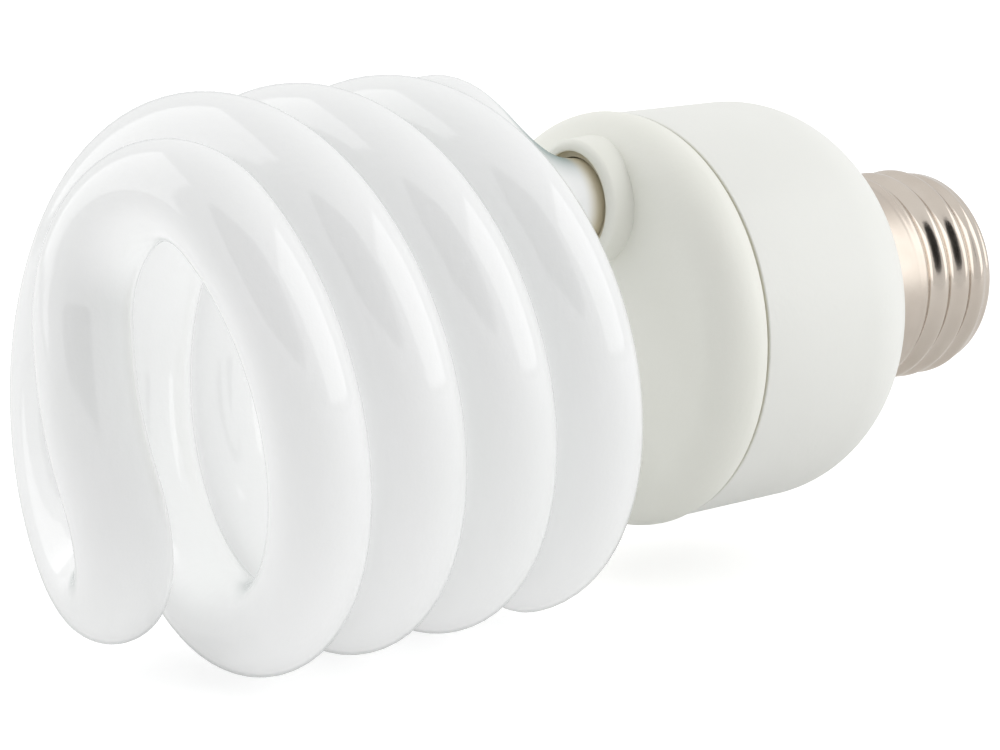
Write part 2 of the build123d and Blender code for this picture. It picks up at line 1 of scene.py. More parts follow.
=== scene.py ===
import bpy
import bmesh
import json
from math import asin, cos, pi, radians, sin
from mathutils import Matrix, Vector


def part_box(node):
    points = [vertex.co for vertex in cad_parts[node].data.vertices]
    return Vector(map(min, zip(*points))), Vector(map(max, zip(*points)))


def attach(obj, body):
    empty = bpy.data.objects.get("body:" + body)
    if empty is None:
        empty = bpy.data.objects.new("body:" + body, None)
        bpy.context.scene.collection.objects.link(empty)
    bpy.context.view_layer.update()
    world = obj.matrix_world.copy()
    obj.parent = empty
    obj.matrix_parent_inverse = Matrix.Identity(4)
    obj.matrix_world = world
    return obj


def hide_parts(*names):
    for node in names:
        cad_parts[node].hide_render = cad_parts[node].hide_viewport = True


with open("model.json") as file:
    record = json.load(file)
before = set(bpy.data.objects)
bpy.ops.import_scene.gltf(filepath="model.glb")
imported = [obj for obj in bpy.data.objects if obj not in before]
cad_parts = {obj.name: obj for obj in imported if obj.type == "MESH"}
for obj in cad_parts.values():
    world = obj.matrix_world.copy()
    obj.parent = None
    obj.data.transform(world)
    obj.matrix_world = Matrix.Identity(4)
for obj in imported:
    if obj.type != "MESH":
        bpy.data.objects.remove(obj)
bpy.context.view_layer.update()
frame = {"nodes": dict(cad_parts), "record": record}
print("frame loaded:", len(frame["nodes"]), "nodes")

# the lamp lies along X; stations run from the front of the glass to the screw cap
glassLow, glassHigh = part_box("spiral_tube")
lampAxis = Vector((glassLow.x, (glassLow.y + glassHigh.y) / 2, (glassLow.z + glassHigh.z) / 2))


# where a CAD node starts (end 0) or stops (end 1)
def station(node, end):
    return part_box(node)[end].x - glassLow.x


# a place beside the lamp's axis; the angle starts at +Y and goes up towards +Z
def around(radius, angle, distance=0.0):
    return lampAxis + Vector((distance, radius * cos(angle), radius * sin(angle)))


# outlines are drawn above an axis, then spun round it
def startOutline(mesh, axis, distance, radius):
    return mesh.verts.new(axis + Vector((distance, 0, radius)))


def lineTo(mesh, start, axis, *stops):
    for distance, radius in stops:
        end = mesh.verts.new(axis + Vector((distance, 0, radius)))
        mesh.edges.new((start, end))
        start = end
    return start


def arcTo(mesh, start, axis, centre, turn, steps):
    middle = axis + Vector((centre[0], 0, centre[1]))
    arc = bmesh.ops.spin(mesh, geom=[start], cent=middle, axis=(0, 1, 0), angle=turn, steps=steps)
    return [part for part in arc["geom_last"] if isinstance(part, bmesh.types.BMVert)][0]


def spinOutline(mesh, axis, geometry, steps):
    bmesh.ops.spin(
        mesh, geom=geometry, cent=axis, axis=(1, 0, 0), angle=2 * pi, steps=steps, use_merge=True,
    )
    bmesh.ops.remove_doubles(mesh, verts=mesh.verts[:], dist=1e-7)


# edges that run round an axis at one station and radius
def ringEdges(mesh, axis, distance, radius):
    near = 2e-5
    found = []
    for edge in mesh.edges:
        spots = [vert.co - axis for vert in edge.verts]
        if all(abs(p.x - distance) < near and abs(p.yz.length - radius) < near for p in spots):
            found.append(edge)
    return found


def roundRings(mesh, axis, rings, width, segments=3):
    for distance, radius in rings:
        bmesh.ops.bevel(
            mesh, geom=ringEdges(mesh, axis, distance, radius), offset=width, offset_type="OFFSET",
            segments=segments, profile=0.5, affect="EDGES", clamp_overlap=True, material=-1,
        )


def finishPiece(mesh, name, material, slotName, *nodes, smoothUnder=40):
    bmesh.ops.recalc_face_normals(mesh, faces=mesh.faces[:])
    data = bpy.data.meshes.new(name)
    mesh.to_mesh(data)
    mesh.free()
    data.materials.append(material)
    piece = bpy.data.objects.new(name, data)
    bpy.context.scene.collection.objects.link(piece)
    data.shade_smooth()
    data.set_sharp_from_angle(angle=radians(smoothUnder))
    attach(piece, "root")
    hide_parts(*nodes)
    print(name, "made:", len(data.polygons), "faces")
    return piece


def addNode(tree, kind, **settings):
    node = tree.nodes.new(kind)
    for setting, value in settings.items():
        setattr(node, setting, value)
    return node


# a socket takes the output of another node, or else a fixed value
def feedSocket(tree, socket, source):
    if isinstance(source, bpy.types.NodeSocket):
        tree.links.new(source, socket)
    else:
        socket.default_value = source


# a calculation takes its sources in the order of the node's sockets
def calculate(tree, operation, *sources, kind="ShaderNodeMath", output="Value"):
    node = addNode(tree, kind, operation=operation)
    for socket, source in zip(node.inputs, sources):
        feedSocket(tree, socket, source)
    return node.outputs[output]


def spreadValue(tree, value, fromEnds, toEnds=(0, 1), change="LINEAR"):
    spread = addNode(tree, "ShaderNodeMapRange", interpolation_type=change)
    sources = (value, *fromEnds, *toEnds)
    for socket, source in zip(("Value", "From Min", "From Max", "To Min", "To Max"), sources):
        feedSocket(tree, spread.inputs[socket], source)
    return spread.outputs["Result"]


def oneAxis(tree, vector, axis):
    split = addNode(tree, "ShaderNodeSeparateXYZ")
    tree.links.new(vector, split.inputs["Vector"])
    return split.outputs[axis]


def objectPlace(tree):
    return addNode(tree, "ShaderNodeTexCoord").outputs["Object"]


# most of the noise lies between 0.3 and 0.7, which is spread between the two ends
def noiseValue(tree, scale, ends=(0, 1), detail=3.0):
    noise = addNode(tree, "ShaderNodeTexNoise")
    noise.inputs["Scale"].default_value = scale
    noise.inputs["Detail"].default_value = detail
    tree.links.new(objectPlace(tree), noise.inputs["Vector"])
    return spreadValue(tree, noise.outputs["Fac"], (0.3, 0.7), ends)


def bumpNormal(tree, height, strength, depth):
    bump = addNode(tree, "ShaderNodeBump")
    bump.inputs["Strength"].default_value = strength
    bump.inputs["Distance"].default_value = depth
    tree.links.new(height, bump.inputs["Height"])
    return bump.outputs["Normal"]


def mixColour(tree, factor, first, second):
    mix = addNode(tree, "ShaderNodeMix", data_type="RGBA")
    tree.links.new(factor, mix.inputs["Factor"])
    for letter, colour in (("A", first), ("B", second)):
        socket = [i for i in mix.inputs if i.name == letter and i.type == "RGBA"][0]
        feedSocket(tree, socket, colour if isinstance(colour, bpy.types.NodeSocket) else (*colour, 1))
    return [o for o in mix.outputs if o.type == "RGBA"][0]


# each material starts as a mottled, grainy surface, and the special ones add to it
def surfaceMaterial(name, look):
    material = bpy.data.materials.new(name)
    material.use_nodes = True
    tree, shader = openMaterial(material)
    for socket, value in look.get("fixed", {}).items():
        shader.inputs[socket].default_value = value
    mottle = noiseValue(tree, look["blotchScale"])
    colour = mixColour(tree, mottle, look["colour"], look["secondColour"])
    roughness = noiseValue(tree, look["blotchScale"] * 3, look["roughness"])
    grain = bumpNormal(tree, noiseValue(tree, look["grainScale"]), look["bumpStrength"], look["bumpDepth"])
    for socket, source in (("Base Color", colour), ("Roughness", roughness), ("Normal", grain)):
        tree.links.new(source, shader.inputs[socket])
    return material


def openMaterial(material):
    return material.node_tree, material.node_tree.nodes["Principled BSDF"]


# what feeds one of a shader's sockets so far
def feeding(shader, socket):
    return shader.inputs[socket].links[0].from_socket


# glass: white powder coat inside a clear wall, so it is dull white under a sharp gloss
glassLook = {
    "colour": (0.55, 0.555, 0.555),
    "secondColour": (0.53, 0.54, 0.535),
    "blotchScale": 60.0,
    "roughness": (0.50, 0.62),
    "grainScale": 900.0,
    "bumpStrength": 0.15,
    "bumpDepth": 0.0001,
    "waveScale": 55.0,
    "waveStrength": 0.25,
    "waveDepth": 0.0003,
    # towards the collars, between these reaches, the dark edge grows as painted shade along the tail and the
    # gloss drops; the next three change there
    "nearCollar": (0.0110, 0.0050),
    "edgeStart": (0.76, 0.20),
    "edgeStrength": (0.6, 1.0),
    "gloss": (1.0, 0.1),
    "edgeColour": (0.21, 0.28, 0.265),
    # cement has smeared onto the last two millimetres before a collar
    "smear": (0.0021, -0.0001),
    "smearColour": (0.66, 0.60, 0.45),
    # painted light, as emission standing in for light through the powder: all round, more towards the lamp's
    # axis, and what undersides add as painted bounce from the floor
    "glow": 0.31,
    "paintedInnerGlow": 0.41,
    "innerFacing": (0.45, -0.8),
    "paintedLowGlow": 0.08,
    "lowFacing": (0.1, -0.8),
    "fixed": {
        "Coat Roughness": 0.09, "Coat IOR": 1.65, "Specular IOR Level": 0.1, "Emission Color": (1, 1, 1, 1),
    },
}
powderGlass = surfaceMaterial("powderGlass", glassLook)
tree, shader = openMaterial(powderGlass)
place = objectPlace(tree)
along = oneAxis(tree, place, "X")
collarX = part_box("front_cover")[0].x


# goes from the first value to the second between two reaches before the collars
def towardsCollar(reaches, values=(0, 1)):
    return spreadValue(tree, along, [collarX - reach for reach in reaches], values, "SMOOTHSTEP")


edgeStart, edgeStrength, gloss = [
    towardsCollar(glassLook["nearCollar"], glassLook[value]) for value in ("edgeStart", "edgeStrength", "gloss")
]
# edge tint: the clear wall's own tint at grazing angles, deepened near the collars into painted shade along
# the tail
facing = addNode(tree, "ShaderNodeLayerWeight")
facing.inputs["Blend"].default_value = 0.5
edgeTintAndShade = spreadValue(tree, facing.outputs["Facing"], (edgeStart, 1), (0, edgeStrength), "SMOOTHSTEP")
smear = towardsCollar(glassLook["smear"])
wallColour = mixColour(tree, edgeTintAndShade, feeding(shader, "Base Color"), glassLook["edgeColour"])
wallColour = mixColour(tree, smear, wallColour, glassLook["smearColour"])

# painted light: the glow grows where the surface faces the lamp's axis, and where it faces down to the pale
# floor
normal = addNode(tree, "ShaderNodeNewGeometry").outputs["Normal"]
vectorKind = {"kind": "ShaderNodeVectorMath", "output": "Vector"}
fromAxis = calculate(tree, "SUBTRACT", place, lampAxis, **vectorKind)
acrossAxis = calculate(tree, "MULTIPLY", fromAxis, (0, 1, 1), **vectorKind)
outwards = calculate(tree, "NORMALIZE", acrossAxis, **vectorKind)
turnedOut = calculate(tree, "DOT_PRODUCT", outwards, normal, kind="ShaderNodeVectorMath")
glow = spreadValue(
    tree, turnedOut, glassLook["innerFacing"], (glassLook["glow"], glassLook["paintedInnerGlow"]), "SMOOTHSTEP",
)
paintedLowGlow = spreadValue(
    tree, oneAxis(tree, normal, "Z"), glassLook["lowFacing"], (0, glassLook["paintedLowGlow"]), "SMOOTHSTEP",
)
glow = calculate(tree, "ADD", glow, paintedLowGlow)
# the clear edge with its painted shade, and the cement, get none of the painted glow
for dark in (edgeTintAndShade, smear):
    glow = calculate(tree, "MULTIPLY", glow, calculate(tree, "SUBTRACT", 1, dark))
waves = noiseValue(tree, glassLook["waveScale"], detail=1.0)
waves = bumpNormal(tree, waves, glassLook["waveStrength"], glassLook["waveDepth"])
# the painted glow goes into the shader's emission
for socket, source in (
    ("Base Color", wallColour), ("Emission Strength", glow), ("Coat Weight", gloss), ("Coat Normal", waves),
):
    tree.links.new(source, shader.inputs[socket])

coverLook = {
    "colour": (0.83, 0.83, 0.775),
    "secondColour": (0.80, 0.805, 0.74),
    "blotchScale": 45.0,
    "roughness": (0.34, 0.46),
    "grainScale": 1400.0,
    "bumpStrength": 0.12,
    "bumpDepth": 0.00008,
    # olive tint that paints the shade in the seam
    "seamShadeColour": (0.66, 0.60, 0.34),
    "seamReach": (0.00045, 0.00030),  # from the housing's edge
    "fixed": {"Specular IOR Level": 0.45},
}
coverPlastic = surfaceMaterial("coverPlastic", coverLook)
tree, shader = openMaterial(coverPlastic)
# painted shade: the tongue is tinted olive where it shows in the seam
seamEnds = [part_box("rear_housing")[0].x - reach for reach in coverLook["seamReach"]]
inSeam = spreadValue(tree, oneAxis(tree, objectPlace(tree), "X"), seamEnds)
seamShaded = mixColour(tree, inSeam, feeding(shader, "Base Color"), coverLook["seamShadeColour"])
tree.links.new(seamShaded, shader.inputs["Base Color"])

stainLook = {
    "colour": (0.62, 0.58, 0.46),
    "secondColour": (0.52, 0.47, 0.34),
    "blotchScale": 400.0,
    "roughness": (0.45, 0.65),
    "grainScale": 1400.0,
    "bumpStrength": 0.2,
    "bumpDepth": 0.0001,
}
cementStain = surfaceMaterial("cementStain", stainLook)

housingLook = {
    "colour": (0.815, 0.82, 0.785),
    "secondColour": (0.79, 0.795, 0.76),
    "blotchScale": 45.0,
    "roughness": (0.36, 0.48),
    "grainScale": 1400.0,
    "bumpStrength": 0.12,
    "bumpDepth": 0.00008,
    "fixed": {"Specular IOR Level": 0.45},
}
housingPlastic = surfaceMaterial("housingPlastic", housingLook)

nickelLook = {
    "colour": (0.64, 0.58, 0.515),
    "secondColour": (0.56, 0.495, 0.43),
    "blotchScale": 120.0,
    "roughness": (0.12, 0.19),
    "grainScale": 700.0,
    "bumpStrength": 0.12,
    "bumpDepth": 0.00005,
    "skirtDullness": 0.20,
    "skirtReach": (0.0070, 0.0100),  # from the shell's front edge
    "fixed": {"Metallic": 1.0},
}
nickelSheet = surfaceMaterial("nickelSheet", nickelLook)
tree, shader = openMaterial(nickelSheet)
# the plain skirt is duller than the rolled thread
skirtEnds = [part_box("screw_shell")[0].x + reach for reach in nickelLook["skirtReach"]]
dullness = spreadValue(
    tree, oneAxis(tree, objectPlace(tree), "X"), skirtEnds, (nickelLook["skirtDullness"], 0),
)
roughness = calculate(tree, "ADD", feeding(shader, "Roughness"), dullness)
tree.links.new(roughness, shader.inputs["Roughness"])

blackGlassLook = {
    "colour": (0.012, 0.012, 0.014),
    "secondColour": (0.03, 0.028, 0.03),
    "blotchScale": 150.0,
    "roughness": (0.12, 0.28),
    "grainScale": 400.0,
    "bumpStrength": 0.2,
    "bumpDepth": 0.0001,
}
blackGlass = surfaceMaterial("blackGlass", blackGlassLook)

solderLook = {
    "colour": (0.60, 0.60, 0.60),
    "secondColour": (0.44, 0.43, 0.42),
    "blotchScale": 350.0,
    "roughness": (0.25, 0.5),
    "grainScale": 900.0,
    "bumpStrength": 0.35,
    "bumpDepth": 0.00012,
    "fixed": {"Metallic": 1.0},
}
solderTin = surfaceMaterial("solderTin", solderLook)
print("outer materials made")

# glass tube: half of it is swept from the middle of the bridge, and turned over for the other half
tube = {
    "radius": 0.005075,
    "sides": 48,
    "turnRadius": 0.0258,
    "turnGap": 0.00138,
    "strandTurn": radians(661.0),
    "strandStart": radians(127.0),
    "bridgeStraight": 0.0088,
    "bridgeRise": 0.0068,
    "tailLead": 0.404,  # shares of the way from the last turn to the collar
    "tailRunIn": 0.606,
    "collarInset": 0.001,
    "collarReach": 0.01475,
    "collarTurn": radians(813.0),
    "bridgeSteps": 48,
    "stepsPerTurn": 90,
    "tailSteps": 26,
}
collarRim = station("front_cover", 0)
bridgeBend = (tube["turnRadius"] ** 2 - tube["bridgeStraight"] ** 2) / (2 * tube["turnRadius"])
bendCentre = tube["turnRadius"] - bridgeBend
bridgeSwing = asin(bridgeBend / bendCentre)
bridgeLength = tube["bridgeStraight"] + (pi / 2 + bridgeSwing) * bridgeBend
strandPitch = 2 * (2 * tube["radius"] + tube["turnGap"])
strandSlope = strandPitch / (2 * pi * tube["turnRadius"])
helixStart = tube["radius"] + tube["bridgeRise"]


# half of the bridge: straight out from the axis, then an arc onto the turns
def bridgePoint(travel):
    share = travel / bridgeLength
    distance = tube["radius"] + tube["bridgeRise"] * (3 * share**2 - 2 * share**3)
    distance += strandSlope * bridgeLength * (share**3 - share**2)
    if travel <= tube["bridgeStraight"]:
        return around(travel, tube["strandStart"] - bridgeSwing, distance)
    turned = tube["strandStart"] + (travel - tube["bridgeStraight"]) / bridgeBend - bridgeSwing - pi / 2
    bend = Vector((0, bridgeBend * cos(turned), bridgeBend * sin(turned)))
    return around(bendCentre, tube["strandStart"], distance) + bend


def helixPoint(turned):
    distance = helixStart + strandSlope * tube["turnRadius"] * turned
    return around(tube["turnRadius"], tube["strandStart"] + turned, distance)


# the tail leaves the last turn along its heading and comes straight into the collar
def tailPoint(share):
    angle = tube["strandStart"] + tube["strandTurn"]
    heading = Vector((strandSlope, -sin(angle), cos(angle))).normalized()
    start = helixPoint(tube["strandTurn"])
    end = around(tube["collarReach"], tube["collarTurn"], collarRim + tube["collarInset"])
    span = (end - start).length
    runIn = Vector((tube["tailRunIn"] * span, 0, 0))
    pulls = [start, start + heading * tube["tailLead"] * span, end - runIn, end]
    rest = 1 - share
    weights = (rest**3, 3 * rest**2 * share, 3 * rest * share**2, share**3)
    return sum((pull * weight for pull, weight in zip(pulls, weights)), Vector())


helixSteps = round(tube["stepsPerTurn"] * tube["strandTurn"] / (2 * pi))
route = [bridgePoint(bridgeLength * step / tube["bridgeSteps"]) for step in range(tube["bridgeSteps"])]
route += [helixPoint(tube["strandTurn"] * step / helixSteps) for step in range(helixSteps)]
route += [tailPoint(step / tube["tailSteps"]) for step in range(tube["tailSteps"] + 1)]
route.append(Vector((glassHigh.x, route[-1].y, route[-1].z)))

mesh = bmesh.new()
last = len(route) - 1
ahead = [(route[min(i + 1, last)] - route[max(i - 1, 0)]).normalized() for i in range(last + 1)]
# the middle ring stands square to the bridge, so that the two halves meet
ahead[0] = Vector((0, cos(tube["strandStart"] - bridgeSwing), sin(tube["strandStart"] - bridgeSwing)))
side = Vector((1, 0, 0))
stops = []
for point, forward in zip(route, ahead):
    side = (side - forward * side.dot(forward)).normalized()
    turn = Matrix((side, forward.cross(side), forward)).transposed().to_4x4()
    stops.append(Matrix.Translation(point) @ turn)
ring = bmesh.ops.create_circle(mesh, segments=tube["sides"], radius=tube["radius"])["verts"]
bmesh.ops.transform(mesh, matrix=stops[0], verts=ring)
edges = mesh.edges[:]
for before, stop in zip(stops, stops[1:]):
    grown = bmesh.ops.extrude_edge_only(mesh, edges=edges)["geom"]
    ring = [part for part in grown if isinstance(part, bmesh.types.BMVert)]
    edges = [part for part in grown if isinstance(part, bmesh.types.BMEdge)]
    bmesh.ops.transform(mesh, matrix=stop @ before.inverted(), verts=ring)
bmesh.ops.contextual_create(mesh, geom=edges)
half = bmesh.ops.duplicate(mesh, geom=mesh.verts[:] + mesh.edges[:] + mesh.faces[:])["geom"]
halfVerts = [part for part in half if isinstance(part, bmesh.types.BMVert)]
bmesh.ops.rotate(mesh, verts=halfVerts, cent=lampAxis, matrix=Matrix.Rotation(pi, 3, "X"))
bmesh.ops.remove_doubles(mesh, verts=mesh.verts[:], dist=2e-6)
finishPiece(mesh, "glassTube", powderGlass, "phosphor_glass", "spiral_tube")

# front cover: round cap with a tongue, and a collar for each end of the tube
cover = {
    "radius": 0.0244,
    "corner": 0.0047,
    "faceBack": 0.0030,
    "wall": 0.0019,
    "seamRadius": 0.0241,
    "seamGap": 0.00035,
    "tongueStep": 0.00195,
    "tongueWall": 0.0013,
    "edgeRound": 0.00022,
    "collarRadius": 0.0072,
    "collarBase": 0.0075,
    "collarSink": 0.0012,  # how deep it stands in the cover's face
    "collarEdge": 0.0007,
    "collarBore": 0.0059,
    "boreEdge": 0.0002,
    "recess": 0.0006,
    "tubeGap": 0.00015,
    "cornerSteps": 14,
    "collarSteps": 96,
    "steps": 160,
}
coverFace = collarRim + cover["faceBack"]
innerFace = coverFace + cover["wall"]
housingFront = station("rear_housing", 0)
coverEdge = housingFront - cover["seamGap"]
tongueEnd = station("front_cover", 1)
tongueRadius = cover["seamRadius"] - cover["tongueStep"]
tongueBore = tongueRadius - cover["tongueWall"]
mesh = bmesh.new()
point = startOutline(mesh, lampAxis, coverFace, 0)
point = lineTo(mesh, point, lampAxis, (coverFace, cover["radius"] - cover["corner"]))
cornerCentre = (coverFace + cover["corner"], cover["radius"] - cover["corner"])
point = arcTo(mesh, point, lampAxis, cornerCentre, pi / 2, cover["cornerSteps"])
lineTo(
    mesh, point, lampAxis, (coverEdge, cover["seamRadius"]), (coverEdge, tongueRadius),
    (tongueEnd, tongueRadius), (tongueEnd, tongueBore), (innerFace, tongueBore), (innerFace, 0),
)
spinOutline(mesh, lampAxis, mesh.verts[:] + mesh.edges[:], cover["steps"])
roundRings(mesh, lampAxis, [(coverEdge, cover["seamRadius"])], cover["edgeRound"])
collarFoot = coverFace + cover["collarSink"]
recessEnd = collarRim + cover["recess"]
tubeHole = tube["radius"] + cover["tubeGap"]
for turned in (0, pi):
    collarAxis = around(tube["collarReach"], tube["collarTurn"] + turned)
    known = set(mesh.verts) | set(mesh.edges)
    point = startOutline(mesh, collarAxis, collarFoot, cover["collarBase"])
    lineTo(
        mesh, point, collarAxis, (collarRim, cover["collarRadius"]), (collarRim, cover["collarBore"]),
        (recessEnd, cover["collarBore"]), (recessEnd, tubeHole), (collarFoot, tubeHole),
        (collarFoot, cover["collarBase"]),
    )
    outline = [part for part in mesh.verts[:] + mesh.edges[:] if part not in known]
    spinOutline(mesh, collarAxis, outline, cover["collarSteps"])
    roundRings(mesh, collarAxis, [(collarRim, cover["collarRadius"])], cover["collarEdge"], 5)
    roundRings(mesh, collarAxis, [(collarRim, cover["collarBore"])], cover["boreEdge"])
    # cement shows in the recess between the collar and the tube
    for face in mesh.faces:
        spot = face.calc_center_median() - collarAxis
        if collarRim + cover["boreEdge"] < spot.x < coverFace and spot.yz.length < cover["collarBore"]:
            face.material_index = 1
frontCover = finishPiece(mesh, "frontCover", coverPlastic, "cover_plastic", "front_cover")
frontCover.data.materials.append(cementStain)

# rear housing: straight wall, round shoulder and the neck inside the screw shell
housing = {
    "radius": 0.02405,
    "straight": 0.0164,
    "shoulder": 0.0125,
    "innerSlope": (0.0080, 0.0035),  # length and depth of the cone inside the shoulder
    "neckFaceRadius": 0.0136,
    "neckRadius": 0.0125,
    "neckWall": 0.0014,
    "wall": 0.0018,
    "edgeRound": 0.00022,
    "shoulderSteps": 28,
    "steps": 160,
}
neckFace = station("screw_shell", 0)
neckEnd = station("rear_housing", 1)
shoulderStart = housingFront - cover["seamGap"] / 2 + housing["straight"]
shoulderCentre = (shoulderStart, housing["radius"] - housing["shoulder"])
shoulderTurn = pi / 2 - asin((housing["neckFaceRadius"] - shoulderCentre[1]) / housing["shoulder"])
neckBore = housing["neckRadius"] - housing["neckWall"]
innerRadius = housing["radius"] - housing["wall"]
slopeLength, slopeDepth = housing["innerSlope"]
mesh = bmesh.new()
point = startOutline(mesh, lampAxis, housingFront, housing["radius"])
point = lineTo(mesh, point, lampAxis, (shoulderStart, housing["radius"]))
point = arcTo(mesh, point, lampAxis, shoulderCentre, shoulderTurn, housing["shoulderSteps"])
lineTo(
    mesh, point, lampAxis, (neckFace, housing["neckRadius"]), (neckEnd, housing["neckRadius"]),
    (neckEnd, neckBore), (neckFace - housing["wall"], neckBore),
    (shoulderStart + slopeLength, innerRadius - slopeDepth), (shoulderStart, innerRadius),
    (housingFront, innerRadius), (housingFront, housing["radius"]),
)
spinOutline(mesh, lampAxis, mesh.verts[:] + mesh.edges[:], housing["steps"])
roundRings(mesh, lampAxis, [(housingFront, housing["radius"])], housing["edgeRound"])
finishPiece(mesh, "rearHousing", housingPlastic, "housing_plastic", "rear_housing")

# screw shell: plain skirt, then a rolled thread that winds to the right and dies away at both ends
shell = {
    "skirtRadius": 0.0130,
    "wall": 0.0004,
    "threadMiddle": 0.0127,
    "threadDepth": 0.00045,
    "pitch": 0.003629,
    "turns": 3,
    "runIn": 0.0020,
    "runOut": 0.0022,
    "endRadius": 0.0124,
    "shoulder": 0.0010,
    "lipRadius": 0.0096,
    "boreTaper": 0.0002,
    "boreRunIn": 0.0010,
    "steps": 180,
    "ringsPerPitch": 20,
    "extraRings": 16,
    "shoulderSteps": 8,
}
shellEnd = station("screw_shell", 1)
threadEnd = shellEnd - shell["shoulder"]
threadStart = threadEnd - shell["turns"] * shell["pitch"]
runStart = threadStart - shell["runIn"]
lastCrest = threadEnd - shell["pitch"] / 4
boreRadius = shell["threadMiddle"] - shell["threadDepth"] - shell["wall"]
skirtBore = shell["skirtRadius"] - shell["wall"]
lipInside = shellEnd - shell["wall"]
shoulderMiddle = (threadEnd, shell["endRadius"] - shell["shoulder"])


def easedShare(share):
    share = min(max(share, 0), 1)
    return share * share * (3 - 2 * share)


def threadRadius(distance, turned):
    wave = cos(2 * pi * ((distance - lastCrest) / shell["pitch"] - turned))
    rolled = shell["threadMiddle"] + shell["threadDepth"] * wave
    rise = easedShare((distance - runStart) / shell["runIn"])
    fall = easedShare((threadEnd - distance) / shell["runOut"])
    target = shell["endRadius"] + (rolled - shell["endRadius"]) * fall
    return shell["skirtRadius"] + (target - shell["skirtRadius"]) * rise


mesh = bmesh.new()
point = startOutline(mesh, lampAxis, neckFace, shell["skirtRadius"])
point = lineTo(mesh, point, lampAxis, (runStart, shell["skirtRadius"]))
# rings for the thread stand at its middle radius until it is rolled into them
ringCount = shell["ringsPerPitch"] * shell["turns"] + shell["extraRings"]
threadRings = [runStart + (threadEnd - runStart) * step / ringCount for step in range(1, ringCount)]
point = lineTo(mesh, point, lampAxis, *[(distance, shell["threadMiddle"]) for distance in threadRings])
point = lineTo(mesh, point, lampAxis, (threadEnd, shell["endRadius"]))
point = arcTo(mesh, point, lampAxis, shoulderMiddle, pi / 2, shell["shoulderSteps"])
lineTo(
    mesh, point, lampAxis, (shellEnd, shell["lipRadius"]), (lipInside, shell["lipRadius"]),
    (lipInside, boreRadius - shell["boreTaper"]), (threadStart, boreRadius),
    (threadStart - shell["boreRunIn"], skirtBore), (neckFace, skirtBore), (neckFace, shell["skirtRadius"]),
)
spinOutline(mesh, lampAxis, mesh.verts[:] + mesh.edges[:], shell["steps"])
for vert in mesh.verts:
    spot = vert.co - lampAxis
    if runStart < spot.x <= threadEnd and abs(spot.yz.length - shell["threadMiddle"]) < 1e-5:
        turned = -spot.yz.angle_signed(Vector((-1, 0))) / (2 * pi)
        grow = threadRadius(spot.x, turned) / spot.yz.length
        vert.co = lampAxis + Vector((spot.x, spot.y * grow, spot.z * grow))
finishPiece(mesh, "screwShell", nickelSheet, "nickel_shell", "screw_shell", smoothUnder=60)

# black glass insulator that closes the end of the shell
plug = {"radius": 0.0095, "tipRadius": 0.0056, "sink": 0.0010, "edgeRound": 0.0004, "steps": 96}
contactSeat = station("base_insulator", 1)
mesh = bmesh.new()
point = startOutline(mesh, lampAxis, shellEnd - plug["sink"], 0)
lineTo(
    mesh, point, lampAxis, (shellEnd - plug["sink"], plug["radius"]), (shellEnd, plug["radius"]),
    (contactSeat, plug["tipRadius"]), (contactSeat, 0),
)
spinOutline(mesh, lampAxis, mesh.verts[:] + mesh.edges[:], plug["steps"])
plugRings = [(contactSeat, plug["tipRadius"]), (shellEnd, plug["radius"])]
roundRings(mesh, lampAxis, plugRings, plug["edgeRound"], 4)
finishPiece(mesh, "insulator", blackGlass, "insulator_glass", "base_insulator")

# soldered contact in its middle
button = {
    "radius": 0.0047,
    "kneeRadius": 0.00335,
    "kneeShare": 0.72,  # of its height
    "flatRadius": 0.0020,
    "sink": 0.0004,
    "edgeRound": 0.0006,
    "steps": 96,
}
contactTip = station("centre_contact", 1)
knee = contactSeat + (contactTip - contactSeat) * button["kneeShare"]
buttonRings = [(knee, button["kneeRadius"]), (contactTip, button["flatRadius"])]
mesh = bmesh.new()
point = startOutline(mesh, lampAxis, contactSeat - button["sink"], 0)
lineTo(
    mesh, point, lampAxis, (contactSeat - button["sink"], button["radius"]),
    (contactSeat, button["radius"]), *buttonRings, (contactTip, 0),
)
spinOutline(mesh, lampAxis, mesh.verts[:] + mesh.edges[:], button["steps"])
roundRings(mesh, lampAxis, buttonRings, button["edgeRound"], 4)
finishPiece(mesh, "contact", solderTin, "solder", "centre_contact", smoothUnder=60)

